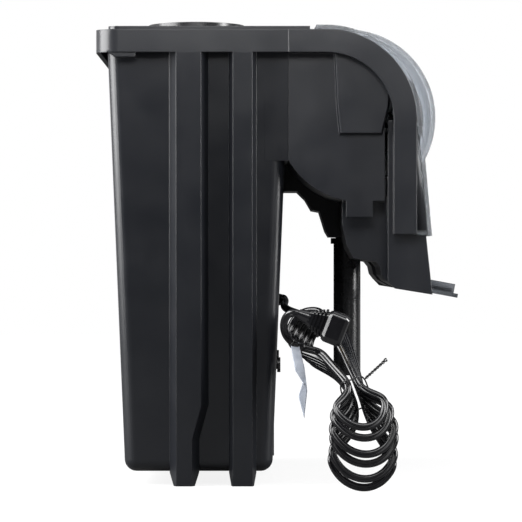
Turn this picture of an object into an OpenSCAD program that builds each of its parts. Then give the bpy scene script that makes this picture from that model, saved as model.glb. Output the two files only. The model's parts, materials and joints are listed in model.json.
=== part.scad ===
// Hang-on-back aquarium filter with two bio wheels.
// +X points to the tank, +Z up, and the origin is on the ground under the middle of the body.

/* [Body] */
// Width of the body over its side bands
body_w = 290; // [250:1:340]
// Height of the rim's top face over the ground
rim_top = 298.5; // [285:0.5:320]
// Height of the rim band
rim_h = 15; // [12:0.5:18]
// Rear face of the rim, behind the origin
rim_rear = 119; // [114:0.5:124]
// Radius of the rim's rear corners
rim_r = 15; // [10:0.5:20]
// Thickness of the moulded walls
wall = 2.5; // [2:0.1:3.5]
// How far the bands and ribs stand off the side walls
rib_d = 10; // [7:0.5:12]
// Draft angle of the chamber's walls
draft = 2.2; // [1:0.1:3]
// Rear face of the chamber just under the rim, behind the origin
chamber_rear = 111.5; // [106:0.5:113]
// Front face of the chamber just under the rim, ahead of the origin
chamber_front = 7.3; // [5:0.1:9]
// Radius of the chamber's corners
chamber_r = 8; // [5:0.5:12]
// Ground clearance under the chamber
foot_h = 9; // [6:0.5:14]
// Thickness of a foot where it stands on the ground
foot_t = 4; // [3:0.5:6]
// Depth of the spillway edge, between the chamber and the wheels, under the rim's top
spill_drop = 82.5; // [76:0.5:86]

/* [Side cheeks] */
// Place along X of the seam between the chamber and the wheel housing
seam_x = 7; // [6.5:0.1:9]
// Place along X of the arch's centre
arch_x = 31.5; // [28:0.5:36]
// Radius of the band's outer edge round the arch
arch_ro = 59; // [56:0.5:61]
// Depth of the band's lower end under the rim's top
band_drop = 133.5; // [128:0.5:138]
// How far the bearing boss stands off the side wall
boss_d = 4; // [2:0.5:6]
// How far the skirt reaches behind the band
slot_w = 3.5; // [3:0.1:5]
// Gap between the side wall and the skirt ahead of it
slot_skirt = 2; // [1:0.1:3]

/* [Wheels] */
// Place along X of the wheel axle
axle_x = 54; // [52:0.5:56]
// Height of the wheel axle over the arch's centre
axle_up = 1; // [-1:0.5:3]
// Outer radius of a wheel
wheel_r = 42; // [38:0.5:43]
// Thickness of a wheel's end disc
disc_t = 2; // [1.5:0.1:3]
// Pleats around a wheel
pleats = 40; // [24:1:48]
// Depth of a pleat
pleat_d = 7.5; // [5:0.5:10]
// Thickness of the pleated sheet, across the fold
sheet_t = 1.4; // [1:0.1:2]
// Radius of a wheel's core tube
core_r = 12; // [8:0.5:16]
// Radius of an axle pin
pin_r = 2; // [1.5:0.1:3]
// Length of a wheel's outer axle pin
pin_l = 5; // [4:0.5:6]
// Inner radius of the well under a wheel
well_r = 51.8; // [50:0.1:54]
// Half width of the casing between the two wheels
casing_w = 31; // [28:0.5:34]
// Gap between a wheel and the casing
wheel_gap = 4; // [3:0.5:6]
// Length of the bearing between a wheel and the side wall
bearing_l = 13.5; // [10:0.5:16]

/* [Hood and lid] */
// Thickness of the hood and the lid
cover_t = 2.5; // [2:0.1:3.5]
// Gap between the hood and the band under it
cover_gap = 0.4; // [0.3:0.1:1]
// Lean of the hood's front panel from upright
panel_lean = 5.1; // [3:0.1:7]
// How far the front panel reaches below the band's lower end
panel_low = 1; // [0:0.5:3]
// Radius of the bulge over a wheel
bulge_r = 58; // [57:0.5:61]
// Distance from the arch's centre to the bulge's centre, along X
bulge_x = 14; // [12:0.5:16]
// Gap between a wheel's ends and the inside of its bulge
bulge_gap = 5.5; // [3:0.5:6]
// Place along X of the hood's rear edge
hood_rear = 23; // [20:0.5:28]
// Gap between the lid's front edge and the hood
lid_gap = 2; // [1:0.5:4]
// Height of the lid's top over the rim
lid_rise = 2.6; // [2:0.1:4]
// Gap between the lid and the inside of the rim
lid_inset = 8; // [6:0.5:12]
// Radius of the lid's knob
knob_r = 33; // [25:1:40]
// Height of the knob's rim
knob_side = 10.5; // [6:0.5:12]
// Height of the knob's domed top over its rim
knob_dome = 2; // [1:0.5:5]

/* [Intake] */
// Place along X of the intake tube's axis
tube_x = 49; // [46:0.5:52]
// Outer radius of the intake tube
tube_r = 9.4; // [8.5:0.1:11]
// Thickness of the tube walls
tube_t = 1.5; // [1.2:0.1:2]
// Length of the intake tube below the casing
tube_l = 96; // [60:1:130]
// Depth of the casing round the intake tube, below the spillway edge
casing_drop = 52; // [46:0.5:56]
// Depth of the face that sits on the tank's rim, below the spillway edge
saddle_drop = 20.5; // [16:0.5:24]
// Travel of the tube on the elbow
tube_travel = 20; // [5:1:22]
// Length of elbow left in the tube when it is drawn right down
tube_grip = 8; // [6:1:12]
// Running clearance of pins, shafts and tubes
run_gap = 0.08; // [0.02:0.01:0.1]
// Height of the elbow's bend centre over the spillway edge
bend_up = 20; // [10:0.5:24]

/* [Motor] */
// Place along X of the motor's axis
motor_x = -27; // [-29:0.5:-25]
// Width of the motor housing
motor_w = 78; // [70:1:84]
// Length of the motor housing along X
motor_l = 50; // [46:1:54]
// Height of the motor recess's roof
motor_roof = 140; // [134:1:144]
// Gap between the motor and its recess
motor_gap = 0.4; // [0.3:0.1:1]
// Radius of the rotor magnet
rotor_r = 11; // [9:0.5:12]
// Length of the rotor magnet
rotor_l = 30; // [24:1:34]
// Radius of the impeller shaft
shaft_r = 1.5; // [1.2:0.1:2]
// Radius of the impeller over its blades
blade_r = 17; // [14:0.5:19]
// Height of an impeller blade
blade_h = 10; // [7:0.5:12]
// Number of impeller blades
blades = 6; // [4:1:8]

/* [Media] */
// Thickness of a floss pad
pad_t = 14; // [8:1:16]
// Height of a cartridge
cart_h = 190; // [150:5:205]
// Gap between a cartridge and the chamber's side wall at its foot
cart_gap = 6; // [3:0.5:15]
// Thickness of a cartridge's plastic frame
frame_t = 3; // [2:0.5:4]
// Width of a cartridge frame's bars
frame_bar = 7; // [5:0.5:10]
// Place along X of a cartridge's rear face
cart_x = -62; // [-64:1:-58]

/* [Levelling and spout] */
// Distance of a levelling pad from the middle
level_y = 85; // [70:1:100]
// Height of the levelling pads
level_z = 78; // [60:1:100]
// Radius of a levelling pad
level_r = 5; // [4:0.5:7]
// How far a levelling pad screws out
level_travel = 12; // [6:1:14]
// Slope of the spout lip
lip_slope = 10.5; // [6:0.5:14]
// How far the lip stops short of the side wall
lip_inset = 18; // [17:0.5:30]
// Thickness of the spout lip
lip_t = 2.6; // [2:0.1:3.5]
// Height of the lip's end walls over its floor
lip_rim = 6; // [3:0.5:8]

/* [Lead] */
// Width of the flat twin lead
cord_d = 5; // [4.5:0.1:5.5]

/* [Hidden] */
$fn = 64;
// Segments of the largest circles, and of the chamber's corners
fine = 128;
coarse = 32;
// A hair's breadth by which solids of one piece run into each other
eps = 0.01;
// How far a cut runs past what it cuts, and a hidden end into what it joins
over = 1;
// Clearances: between plain seats, at moving ends, and round what is slipped in
seat_gap = 0.1;
pin_gap = 0.4;
slip_gap = 0.3;
half = body_w / 2;
rim_under = rim_top - rim_h;
wall_y = half - rib_d;
drop = tan(draft);
arch_z = rim_top - arch_ro;
arch_ri = arch_ro - rim_h;
axle_z = arch_z + axle_up;
spill_z = rim_top - spill_drop;
band_end_z = rim_top - band_drop;
panel_end_z = band_end_z - panel_low;
casing_z = spill_z - casing_drop;
saddle_z = spill_z - saddle_drop;
tube_end = casing_z - tube_l;
bend_z = spill_z + bend_up;
wheel_w = wall_y - wall - bearing_l - casing_w - wheel_gap;
bulge_w = wheel_w + 2 * (bulge_gap + cover_t);
lip_w = wall_y - lip_inset;
leg_x = arch_x + arch_ri;
leg_end = arch_x + arch_ro;
slot_x = leg_x - slot_w;
well_can_t = 2.4;
well_can_r = rotor_r + well_can_t;
level_head = 2;
level_stem_r = level_r - level_head;
ground_face = half - rim_under * drop;
ground_wall = ground_face - rib_d;
wheel_y = casing_w + wheel_gap + wheel_w / 2;
bulge_cx = arch_x + bulge_x;
bulge_up = 2;
bulge_cz = arch_z + bulge_up;
hood_in = arch_ro + cover_gap;
hood_out = hood_in + cover_t;
lid_top = rim_top + lid_rise;
lid_front = hood_rear - lid_gap;
knob_x = -56;
elbow_r = tube_r - tube_t - run_gap;
recess_w = motor_w + 2 * motor_gap;
recess_rear = motor_x - motor_l / 2 - motor_gap;
level_wall = chamber_front - (rim_under - level_z) * drop;
spout_ahead = 6.5;
spout_drop = 38.7;
spout_x = leg_end + spout_ahead;
spout_z = band_end_z - spout_drop;
lip_ahead = 2.3;
lip_up = 0.5;
lip_x = spout_x + lip_ahead;
lip_z = spout_z + lip_up;
notch_side = 4;
notch_y = wall_y - wall - notch_side;

// Ribs and feet: place of the base's rear edge, base width, sloped side and narrow foot
rear_rib_x = -71;
rear_rib_w = 25.5;
rear_rib_side = 4.6;
rear_rib_foot = 19.4;
front_rib_x = -32;
front_rib_w = 18;
front_rib_side = 2.6;
jog_top = 53;
jog_end = 30.5;

plastic = "#2b2d30";
smoke = [0.45, 0.5, 0.55, 0.6];
gloss = "#17181a";

// ---- helpers ----

// Draws its children on both sides of the middle
module both_sides() {
    children();
    mirror([0, 1, 0]) children();
}

// Extrudes a side view (X to the tank, Y up) from one Y to another
module across(y0, y1) {
    translate([0, y1, 0]) rotate([90, 0, 0]) linear_extrude(y1 - y0) children();
}

module block(x0, x1, y0, y1, z0, z1) {
    translate([x0, y0, z0]) cube([x1 - x0, y1 - y0, z1 - z0]);
}

module tube_z(outer, inner, z0, z1) {
    translate([0, 0, z0]) difference() {
        cylinder(r = outer, h = z1 - z0);
        translate([0, 0, -over]) cylinder(r = inner, h = z1 - z0 + 2 * over);
    }
}

// ---- chamber ----

function rear_at(z) = -chamber_rear + (rim_under - z) * drop;
function front_at(z) = chamber_front - (rim_under - z) * drop;
function side_at(z) = wall_y - (rim_under - z) * drop;

// Tapered box with rounded corners, inset all round, from z0 up to z1
module drafted(inset, z0, z1) {
    r = chamber_r - inset;
    hull() both_sides() {
        for (x = [rear_at(z1) + chamber_r, front_at(z1) - chamber_r])
            translate([x, side_at(z1) - chamber_r, z1 - over]) cylinder(r = r, h = over, $fn = coarse);
        for (x = [rear_at(z0) + chamber_r, front_at(z0) - chamber_r])
            translate([x, side_at(z0) - chamber_r, z0 + r]) sphere(r = r, $fn = coarse);
    }
}

module rim_plan(grow, x_end) {
    x0 = -rim_rear - grow;
    y0 = half + grow;
    r = rim_r + grow;
    translate([x0 + r, -y0]) square([x_end - x0 - r, 2 * y0]);
    translate([x0, -y0 + r]) square([2 * r, 2 * y0 - 2 * r]);
    for (s = [-1, 1]) translate([x0 + r, s * (y0 - r)]) circle(r);
}

// Hollow band round the rim: a skirt under a flat top web
module rim_band() {
    skirt = 3;
    difference() {
        translate([0, 0, rim_under]) linear_extrude(rim_h) rim_plan(0, seam_x);
        translate([0, 0, rim_under - over]) linear_extrude(rim_h - skirt + over)
            rim_plan(-skirt, seam_x + over);
    }
}

// Section of a rib standing on a wall: base along X, face at the rib's depth
module rib_section(x, w, side) {
    polygon([
        [x, -wall / 2], [x, 0], [x + side, rib_d],
        [x + w - side, rib_d], [x + w, 0], [x + w, -wall / 2]
    ]);
}

module rib_run(x, w, side, z0, z1) {
    translate([0, 0, z0 - rim_under]) linear_extrude(z1 - z0) rib_section(x, w, side);
}

// One side's ribs, leaning with the wall and cut off at the ground
module ribs() {
    reach = 12;
    intersection() {
        translate([0, wall_y, rim_under]) rotate([-draft, 0, 0]) {
            rib_run(front_rib_x, front_rib_w, front_rib_side, -reach, rim_under + over);
            rib_run(rear_rib_x, rear_rib_w, rear_rib_side, jog_top, rim_under + over);
            rib_run(rear_rib_x, rear_rib_foot, rear_rib_side, -reach, jog_end);
            hull() {
                rib_run(rear_rib_x, rear_rib_w, rear_rib_side, jog_top, jog_top + eps);
                rib_run(rear_rib_x, rear_rib_foot, rear_rib_side, jog_end - eps, jog_end);
            }
        }
        difference() {
            block(-rim_rear, 0, 0, half, 0, rim_top - over);
            across_x(-rim_rear, 0) polygon([
                [ground_face - foot_t, -over], [ground_face - foot_t, 0], [ground_wall, foot_h],
                [0, foot_h], [0, -over]
            ]);
        }
    }
}

// Extrudes a front view (Y to the side, Z up) from one X to another
module across_x(x0, x1) {
    translate([x0, 0, 0]) rotate([90, 0, 90]) linear_extrude(x1 - x0) children();
}

// The walls on from the chamber's rounded front corners to the seam
module shoulder() {
    low = spill_z - rim_under - 3;
    high = rim_h - 2 * seat_gap;
    translate([0, wall_y, rim_under]) rotate([-draft, 0, 0])
        block(front_at(rim_under) - 2 * chamber_r, seam_x, -wall, 0, low, high);
}

// Small stops moulded under the rim's rear corners
module rim_stop() {
    stop_x = -106;
    stop_l = 13;
    stop_h = 3;
    slope = 6;
    across(half - rib_d - over, half - over) polygon([
        [stop_x - slope, rim_under + over], [stop_x, rim_under - stop_h],
        [stop_x + stop_l, rim_under - stop_h], [stop_x + stop_l, rim_under + over]
    ]);
}

module filter_box() {
    notch_back = 4;
    notch_front = 5;
    color(plastic) difference() {
        union() {
            difference() {
                union() {
                    drafted(0, foot_h, rim_top);
                    both_sides() shoulder();
                    rim_band();
                }
                drafted(wall, foot_h + wall, rim_top + 2 * over);
                block(front_at(rim_top) - chamber_r - notch_back, seam_x + notch_front, -notch_y, notch_y,
                    spill_z, rim_top + over);
            }
            both_sides() {
                ribs();
                rim_stop();
            }
            motor_recess_block();
        }
        motor_recess_void();
        level_bores();
    }
}

module motor_recess_block() {
    intersection() {
        drafted(wall / 2, foot_h, rim_under);
        block(recess_rear - wall, chamber_front, -recess_w / 2 - wall, recess_w / 2 + wall,
            0, motor_roof + wall);
    }
}

module motor_recess_void() {
    block(recess_rear, chamber_front + over, -recess_w / 2, recess_w / 2, -over, motor_roof);
    translate([motor_x, 0, motor_roof - over]) cylinder(r = well_can_r + motor_gap, h = wall + 2 * over);
}

module level_bores() {
    both_sides() translate([level_wall - 2 * wall, level_y, level_z]) rotate([0, 90, 0])
        cylinder(r = level_stem_r + run_gap, h = 3 * wall);
}

// ---- side cheeks ----

wall_end = slot_x - slot_skirt;
skirt_top = band_end_z - 0.7;
skirt_lean = panel_lean + 1;
function skirt_front(z) = spout_x + (skirt_top - z) * tan(skirt_lean);

module box2(x0, x1, z0, z1) {
    translate([x0, z0]) square([x1 - x0, z1 - z0]);
}

// Everything under an arch of the given radius, with upright sides down to z_low
module under_arch(r, x_rear, z_low) {
    box2(x_rear, arch_x, z_low, arch_z + r);
    box2(arch_x - over, arch_x + r, z_low, arch_z);
    intersection() {
        translate([arch_x, arch_z]) circle(r, $fn = fine);
        box2(arch_x - over, arch_x + r, arch_z - over, arch_z + r);
    }
}

// The band: level along the rim, round the arch and down its front leg
module band_plan(inset) {
    difference() {
        under_arch(arch_ro - inset, seam_x, band_end_z + inset);
        under_arch(arch_ri + inset, seam_x - over, band_end_z - over);
    }
}

// The flat wall inside the arch, its lower edge round with the wheel's well
module cheek_wall_plan() {
    tab_x = 44.6;
    tab_w = 17.7;
    tab_up = 11.2;
    ledge_up = 0.6;
    throat_up = 8;
    tab_z = band_end_z + tab_up;
    ledge_z = axle_z - well_r - wall + ledge_up;
    intersection() {
        under_arch(arch_ri + over, seam_x, tab_z - over);
        union() {
            translate([axle_x, axle_z]) circle(well_r + wall, $fn = fine);
            box2(seam_x, wall_end, spill_z - wall, rim_top);
            box2(tab_x + tab_w - over, wall_end, ledge_z, axle_z);
        }
        box2(seam_x, wall_end, tab_z, rim_top);
    }
    intersection() {
        under_arch(arch_ri + over, seam_x, tab_z - over);
        box2(wall_end - over, leg_x, arch_z + throat_up, rim_top);
    }
    box2(tab_x, tab_x + tab_w, tab_z, axle_z);
}

// The skirt below and behind the band's front leg, with its lower edge like the chute's
module skirt_plan() {
    heel_up = 7.9;
    heel_l = 4.5;
    heel_low = 3.2;
    toe_z = spout_z - 0.8;
    polygon([
        [slot_x, arch_z], [slot_x, spout_z + heel_up], [slot_x + heel_l, spout_z + heel_low],
        [skirt_front(toe_z), toe_z], [skirt_front(skirt_top), skirt_top],
        [leg_end - over, skirt_top], [leg_end - over, arch_z]
    ]);
}

// Raised seat over the wheel's bearing, with bevelled edges
module bearing_boss() {
    bevel = 1.2;
    left = 36.4;
    low = arch_z - 9.6;
    foot = wall_y - 0.5;
    intersection() {
        across(wall_y - over, wall_y + boss_d) under_arch(arch_ri + 0.5, seam_x, low - over);
        hull() {
            across(wall_y - over, foot) boss_plan(left, low, 0);
            across(foot, wall_y + boss_d) boss_plan(left, low, bevel);
        }
    }
}

// The boss's outline, inset by b: upright above its waist and drawn in to its foot
module boss_plan(left, low, b) {
    high = rim_under + 2 * over;
    waist = 18;
    waist_tilt = 0.6;
    taper = 1.8;
    foot_in = 3.4;
    waist_out = 0.8;
    head_out = 3;
    polygon([
        [left + b, high], [left + taper + b, low + waist - waist_tilt], [left + 2 * taper + b, low + b],
        [slot_x - foot_in - b, low + b], [slot_x + waist_out - b, low + waist + waist_tilt],
        [slot_x + head_out, high]
    ]);
}

module cheek() {
    color(plastic) {
        difference() {
            union() {
                across(wall_y - wall, wall_y) {
                    cheek_wall_plan();
                    skirt_plan();
                }
                across(wall_y - wall, half) band_plan(0);
                bearing_boss();
            }
            across(wall_y - wall - over, half - wall) band_plan(wall);
        }
    }
}

module cheek_left() {
    cheek();
}

module cheek_right() {
    mirror([0, 1, 0]) cheek();
}

// ---- spillways ----

well_out = well_r + wall;
chute_top = axle_z - well_r;
// The chute's underside, from the well's low edge to the front, as places along X and depths
chute_steps = [
    [42.3, 0], [42.3, 16.8], [45.8, 31.9], [49.8, 39.5], [64.4, 41.8], [67.2, 45.2], [68.4, 50.5],
    [71.5, 54.5], [80, 59.2], [spout_x, chute_top - spout_z]
];
chute = [for (p = chute_steps) [p[0], chute_top - p[1]]];
chute_t = 0.8 * wall;
chamber_face = front_at(spill_z) + seat_gap;

module chute_floor() {
    n = len(chute);
    polygon([
        for (p = chute) p,
        for (i = [n - 1:-1:0]) chute[i] + [chute_t, i == 0 ? 0 : wall]
    ]);
}

module well_floor() {
    intersection() {
        difference() {
            translate([axle_x, axle_z]) circle(well_out, $fn = fine);
            translate([axle_x, axle_z]) circle(well_r, $fn = fine);
        }
        box2(seam_x, chute[0][0] + chute_t, chute_top - wall - over, spill_z);
    }
}

module chute_end() {
    rise = 10;
    polygon([
        for (p = chute) p,
        [spout_x - wall, skirt_top], [slot_x, skirt_top + rise], [slot_x, chute_top + 2 * over]
    ]);
}

module spillway() {
    y_in = casing_w;
    y_out = wall_y - wall;
    skirt_gap = 10;
    y_end = y_out - skirt_gap;
    color(plastic) {
        across(y_in, y_out) well_floor();
        across(y_in, side_at(spill_z - wall) - wall - slip_gap)
            box2(chamber_face, seam_x + wall / 4, spill_z - wall, spill_z);
        across(y_in, y_end) chute_floor();
        across(y_in, y_in + wall) chute_end();
        across(y_end - wall, y_end) chute_end();
        across(y_end - wall, y_out) box2(chute[0][0], wall_end, chute_top - wall, chute_top);
    }
}

module spillway_left() {
    spillway();
}

module spillway_right() {
    mirror([0, 1, 0]) spillway();
}

module front_apron() {
    mouth_h = 15.7;
    low = spout_z + mouth_h;
    color(plastic) across(-wall_y + wall, wall_y - wall) polygon([
        [skirt_front(low) - wall, low], [skirt_front(low), low],
        [skirt_front(skirt_top), skirt_top], [skirt_front(skirt_top) - wall, skirt_top]
    ]);
}

// ---- casing between the wheels ----

// The saddle's underside ahead of the tank's rim, as places along X and depths under the saddle
saddle_steps = [[14, 0], [19.6, 5.5], [24, 13], [29.4, 14]];

// Side view of the casing: the saddle, the foot round the tube, and the pier that carries the axle
module casing_plan() {
    foot_x = 33.6;
    foot_bevel_x = 2.4;
    foot_bevel_z = 4;
    front_bevel_x = 3;
    front_bevel_z = 5;
    tube_room = 16;
    pier_half = 8;
    pier_up = 4;
    pier_slope = 6;
    rise = 4;
    front = tube_x + tube_room;
    polygon([
        [chamber_face, spill_z], [chamber_face, saddle_z],
        for (p = saddle_steps) [p[0], saddle_z - p[1]],
        [foot_x, casing_z + foot_bevel_z], [foot_x + foot_bevel_x, casing_z],
        [front - front_bevel_x, casing_z], [front, casing_z + front_bevel_z],
        [front, axle_z - pier_half - pier_slope], [axle_x + pier_half, axle_z - pier_half],
        [axle_x + pier_half, axle_z + pier_up], [axle_x - pier_half, axle_z + pier_up],
        [axle_x - pier_half - rise, axle_z - pier_half - pier_slope + rise],
        [chamber_face + rise, spill_z + rise]
    ]);
}

module intake_casing() {
    mouth = 5;
    color(plastic) difference() {
        across(-casing_w, casing_w) casing_plan();
        across(-casing_w + wall, casing_w - wall) {
            offset(delta = -wall) casing_plan();
            box2(seam_x + wall, axle_x + mouth, spill_z, axle_z + 10 * over);
        }
        translate([tube_x, 0, casing_z - over]) cylinder(r = elbow_r + slip_gap, h = wall + 2 * over);
    }
}

// ---- spout ----

// A sloping lip that reaches as far ahead of the origin as the rim reaches behind it
module spout_lip() {
    end_t = 3;
    rib_t = 1.5;
    ribs = 4;
    l = (rim_rear - lip_x - lip_t * sin(lip_slope)) / cos(lip_slope);
    color(smoke) both_sides() translate([lip_x, 0, lip_z]) rotate([0, lip_slope, 0]) {
        block(0, l, 0, lip_w, 0, lip_t);
        block(0, l - end_t, lip_w - end_t, lip_w, lip_t - eps, lip_t + lip_rim);
        for (i = [1:ribs]) let (y = lip_w * i / (ribs + 1))
            block(end_t, l - end_t, y, y + rib_t, lip_t - eps, lip_t + lip_rim / 2);
    }
}

// ---- wheels ----

module end_disc() {
    rim = 5;
    spokes = 6;
    spoke_w = 4;
    linear_extrude(disc_t) {
        difference() {
            circle(wheel_r, $fn = fine);
            circle(wheel_r - rim);
        }
        circle(core_r);
        for (i = [0:spokes - 1]) rotate(i * 360 / spokes)
            translate([core_r - over, -spoke_w / 2]) square([wheel_r - rim - core_r + 2 * over, spoke_w]);
    }
}

// A wheel's frame along +Y from its inner end: two end discs on a core tube, with a pin at each end
module wheel_frame() {
    core_t = 2;
    rotate([-90, 0, 0]) {
        end_disc();
        translate([0, 0, wheel_w - disc_t]) end_disc();
        tube_z(core_r, core_r - core_t, disc_t - eps, wheel_w - disc_t + eps);
        translate([0, 0, -wheel_gap + pin_gap]) cylinder(r = pin_r, h = wheel_gap);
        translate([0, 0, wheel_w - disc_t]) cylinder(r = pin_r, h = disc_t + pin_l);
    }
}

module star(r_out, r_in) {
    polygon([for (i = [0:2 * pleats - 1]) let (a = i * 180 / pleats, r = i % 2 == 0 ? r_out : r_in)
        [r * cos(a), r * sin(a)]]);
}

// The medium: one sheet folded into pleats right round the wheel
module wheel_medium() {
    inset = 1;
    r = wheel_r - inset;
    fold = atan(r * sin(180 / pleats) / pleat_d);
    t = sheet_t / sin(fold);
    rotate([-90, 0, 0]) translate([0, 0, disc_t]) linear_extrude(wheel_w - 2 * disc_t) difference() {
        star(r, r - pleat_d);
        star(r - t, r - pleat_d - t);
    }
}

module at_wheel() {
    translate([axle_x, wheel_y - wheel_w / 2, axle_z]) children();
}

module wheel_frame_left() {
    color(gloss) at_wheel() wheel_frame();
}

module wheel_frame_right() {
    color(gloss) mirror([0, 1, 0]) at_wheel() wheel_frame();
}

module wheel_medium_left() {
    color("#cfd2cf") at_wheel() wheel_medium();
}

module wheel_medium_right() {
    color("#cfd2cf") mirror([0, 1, 0]) at_wheel() wheel_medium();
}

// An open-topped seat for an axle pin, from one Y to another
module bearing(y0, y1) {
    r = pin_r + run_gap;
    reach = 4.5;
    horn_h = 3.5;
    across(y0, y1) difference() {
        union() {
            translate([axle_x, axle_z]) circle(reach);
            box2(axle_x - reach, axle_x + reach, axle_z, axle_z + horn_h);
        }
        translate([axle_x, axle_z]) circle(r);
        box2(axle_x - r, axle_x + r, axle_z, axle_z + horn_h + over);
    }
}

module wheel_bearings() {
    color("#e8e8e4") both_sides() {
        bearing(casing_w, casing_w + wheel_gap - pin_gap);
        bearing(wheel_y + wheel_w / 2 + pin_gap, wall_y - wall);
    }
}

// ---- hood and lid ----

// Everything under the hood's skin: the arch, and the front panel leaning out from it
module under_hood(r) {
    n = [cos(panel_lean), sin(panel_lean)];
    start = [arch_x, arch_z] + r * n;
    fall = (start[1] - panel_end_z) / cos(panel_lean);
    translate([arch_x, arch_z]) circle(r, $fn = fine);
    box2(hood_rear, arch_x, panel_end_z, arch_z + r);
    polygon([
        [arch_x, arch_z], start, start + fall * [sin(panel_lean), -cos(panel_lean)], [arch_x, panel_end_z]
    ]);
}

module hood_skin_plan() {
    slant = 3;
    difference() {
        under_hood(hood_out);
        under_hood(hood_in);
        box2(-half, hood_rear, 0, rim_top - over);
        box2(-half, arch_x, 0, arch_z + arch_ri / 2);
        polygon([
            [0, rim_top - over], [hood_rear, rim_top - over], [hood_rear + slant, lid_top + 2 * over],
            [0, lid_top + 2 * over]
        ]);
    }
}

module bulge_plan(r, skin) {
    difference() {
        translate([bulge_cx, bulge_cz]) circle(r, $fn = fine);
        under_hood(skin);
        box2(-half, arch_x, 0, arch_z + r + 2 * bulge_up);
    }
}

module front_hood() {
    edge = 1;
    y0 = wheel_y - bulge_w / 2;
    y1 = wheel_y + bulge_w / 2;
    color(smoke) difference() {
        union() {
            across(-half + edge, half - edge) hood_skin_plan();
            both_sides() across(y0, y1) bulge_plan(bulge_r, hood_in + cover_t / 2);
        }
        both_sides() across(y0 + cover_t, y1 - cover_t)
            translate([bulge_cx, bulge_cz]) circle(bulge_r - cover_t, $fn = fine);
    }
}

module chamber_lid() {
    lip_h = 6;
    lip_gap = 0.6;
    lip_back = 6;
    inner_x = rear_at(rim_top) + chamber_r;
    inner_y = notch_y - lip_gap;
    under = rim_top + seat_gap;
    color(plastic) {
        translate([0, 0, under]) linear_extrude(lid_rise - seat_gap) rim_plan(-lid_inset, lid_front);
        difference() {
            block(inner_x, lid_front - lip_back, -inner_y, inner_y, rim_top - lip_h, under + seat_gap);
            block(inner_x + wall, lid_front, -inner_y + wall, inner_y - wall, rim_top - lip_h - over, under);
        }
    }
}

module lid_knob() {
    dome_r = (knob_r * knob_r + knob_dome * knob_dome) / (2 * knob_dome);
    color(gloss) translate([knob_x, 0, lid_top]) {
        cylinder(r = knob_r, h = knob_side, $fn = fine);
        intersection() {
            translate([0, 0, knob_side + knob_dome - dome_r]) sphere(dome_r, $fn = fine);
            translate([0, 0, knob_side - eps]) cylinder(r = knob_r, h = knob_dome + over, $fn = fine);
        }
    }
}

// ---- intake ----

tube_gap = 0.5;
tube_top = casing_z - tube_gap;
elbow_in = elbow_r - tube_t;
bend_r = (tube_x - motor_x) / 2;
well_rise = 1.5;
well_top = motor_roof + wall + well_rise;
blade_gap = 1.5;
blade_z = well_top + blade_gap;
cup_gap = 2;
cover_z = blade_z + blade_h + cup_gap;
cup_t = 2;
leg_z = cover_z + cup_t + slip_gap;

module intake_elbow() {
    flange_w = 3.2;
    flange_t = 2.3;
    flange_z = casing_z + wall + 2 * seat_gap;
    color(gloss) {
        translate([tube_x, 0, 0]) tube_z(elbow_r, elbow_in, tube_top - tube_travel - tube_grip, bend_z);
        translate([tube_x, 0, 0]) tube_z(elbow_r + flange_w, elbow_in, flange_z, flange_z + flange_t);
        translate([motor_x, 0, 0]) tube_z(elbow_r, elbow_in, leg_z, bend_z);
        translate([motor_x + bend_r, 0, bend_z]) rotate([90, 0, 0]) rotate_extrude(angle = 180)
            translate([bend_r, 0]) difference() {
                circle(elbow_r);
                circle(elbow_in);
            }
    }
}

module intake_tube() {
    collar_h = 4;
    collar_t = 2;
    color(gloss) translate([tube_x, 0, 0]) {
        tube_z(tube_r, tube_r - tube_t, tube_end, tube_top);
        tube_z(tube_r + collar_t, tube_r - 0.1, tube_top - collar_h, tube_top);
    }
}

// ---- impeller and motor ----

rotor_room = 7;
well_low = well_top - rotor_l - rotor_room;
bush_t = 2.5;
bush_r = shaft_r + bush_t;
bush_h = 4;
hub_r = 4.5;
hub_l = 2;

module impeller() {
    blade_root = 3;
    vane_t = 1.5;
    lap = 0.5;
    color("#d8d8d2") translate([motor_x, 0, 0]) difference() {
        union() {
            translate([0, 0, blade_z]) cylinder(r = hub_r, h = blade_h);
            translate([0, 0, blade_z]) cylinder(r = rotor_r, h = vane_t);
            for (i = [0:blades - 1]) rotate(i * 360 / blades)
                translate([blade_root, -vane_t / 2, blade_z]) cube([blade_r - blade_root, vane_t, blade_h]);
            translate([0, 0, blade_z - hub_l]) cylinder(r = hub_r, h = hub_l + lap);
        }
        translate([0, 0, blade_z - hub_l - over])
            cylinder(r = shaft_r + run_gap, h = blade_h + hub_l + 2 * over);
    }
}

module rotor_magnet() {
    top = blade_z - hub_l;
    color("#3a3a3c") translate([motor_x, 0, 0]) tube_z(rotor_r, shaft_r + run_gap, top - rotor_l, top);
}

module impeller_shaft() {
    low = well_low + 1;
    color("#d9dde0") translate([motor_x, 0, low]) cylinder(r = shaft_r, h = cover_z - slip_gap - low);
}

module shaft_bushes() {
    top_bush_h = 1.5;
    color("#1c1c1c") translate([motor_x, 0, 0]) {
        tube_z(bush_r, shaft_r, well_low, well_low + bush_h);
        tube_z(bush_r, shaft_r, cover_z - seat_gap - top_bush_h, cover_z - seat_gap);
    }
}

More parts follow.
